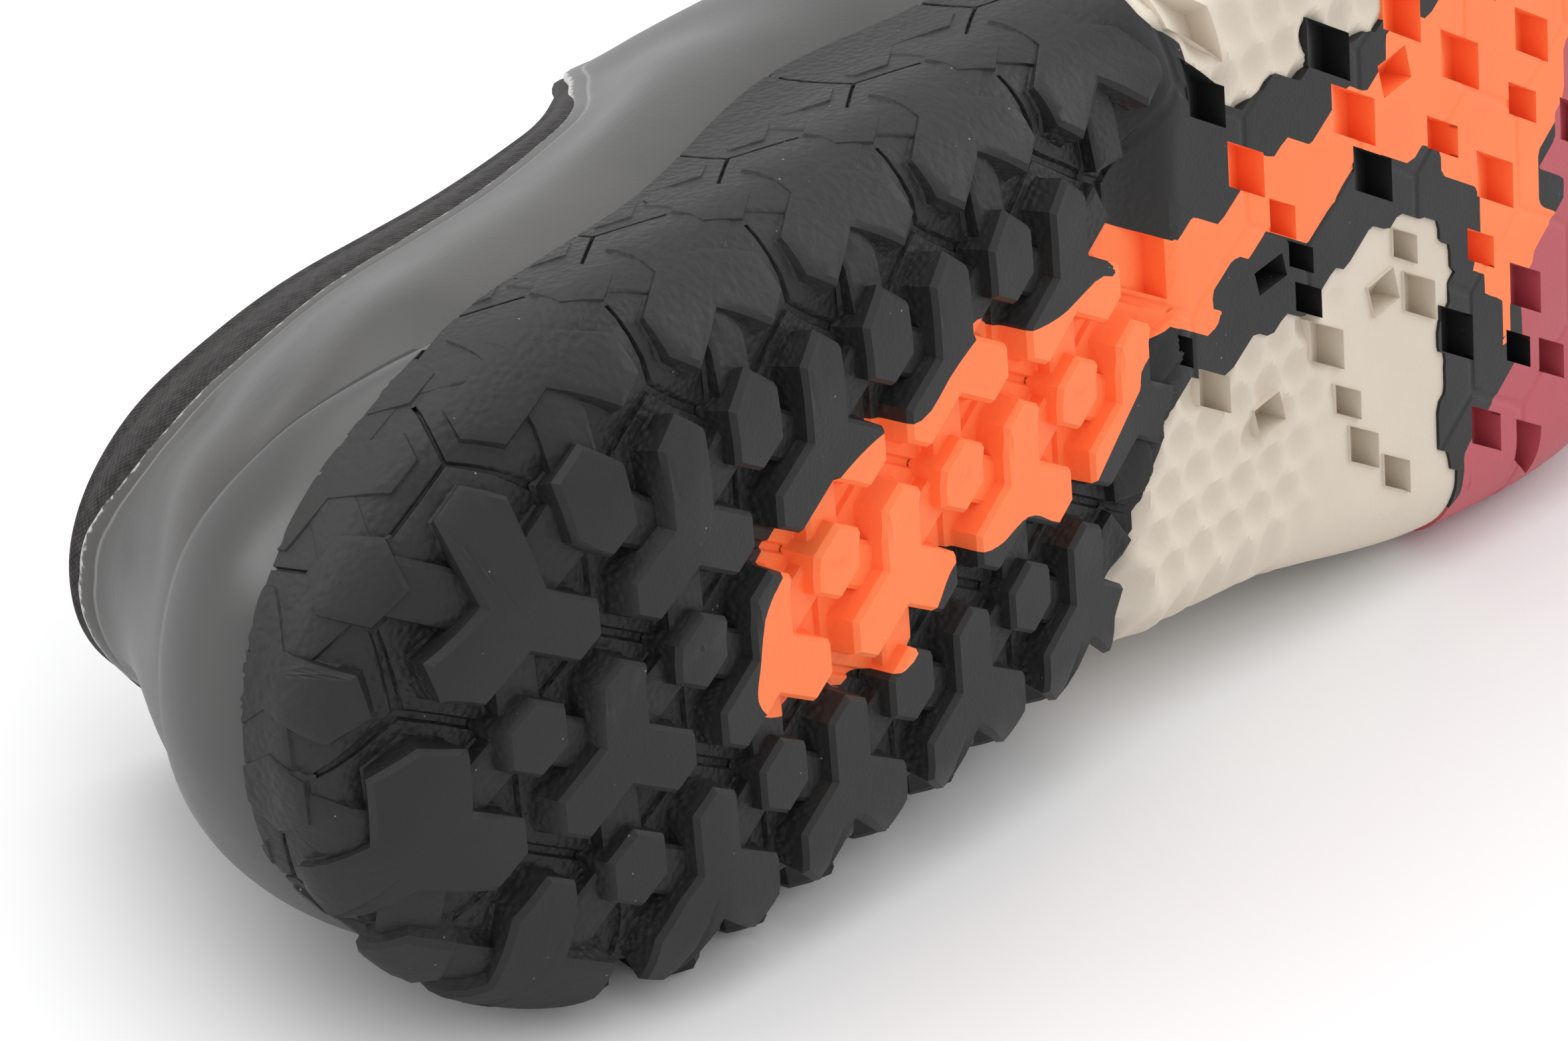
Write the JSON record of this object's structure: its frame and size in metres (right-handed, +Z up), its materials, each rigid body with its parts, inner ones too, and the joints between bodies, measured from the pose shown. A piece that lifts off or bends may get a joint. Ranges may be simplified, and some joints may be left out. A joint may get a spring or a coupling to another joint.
{
  "type": "trail running shoe",
  "caption": "Low trail running shoe lying on its side, with a lugged four-colour rubber and foam tread, a film-covered upper, moulded heel cup and laced throat",
  "frame": {"origin": "middle of the bounding box in X and Y, on the floor the shoe lies on", "axes": "+X from heel to toe, +Z up from the floor to the outer (lateral) side of the shoe, -Y out of the tread, +Y towards the collar"},
  "size_m": [0.3, 0.0994, 0.1062],
  "materials": {
    "outsole_heel": "matte, finely pebbled black rubber",
    "outsole_stripe": "matte bright orange rubber",
    "outsole_toe": "matte burgundy rubber",
    "midsole": "matte cream foam",
    "upper": "dark woven fabric under a semi-gloss grey film",
    "heel_cup": "smooth semi-gloss dark moulding",
    "insole": "matte knit over foam",
    "tongue": "matte padded fabric",
    "laces": "matte flat woven cord"
  },
  "bodies": {
    "root": {"outsole_heel": "outsole_heel", "outsole_stripe": "outsole_stripe", "outsole_toe": "outsole_toe", "midsole": "midsole", "upper": "upper", "heel_cup": "heel_cup", "insole": "insole", "tongue": "tongue", "laces": "laces"}
  },
  "joints": []
}
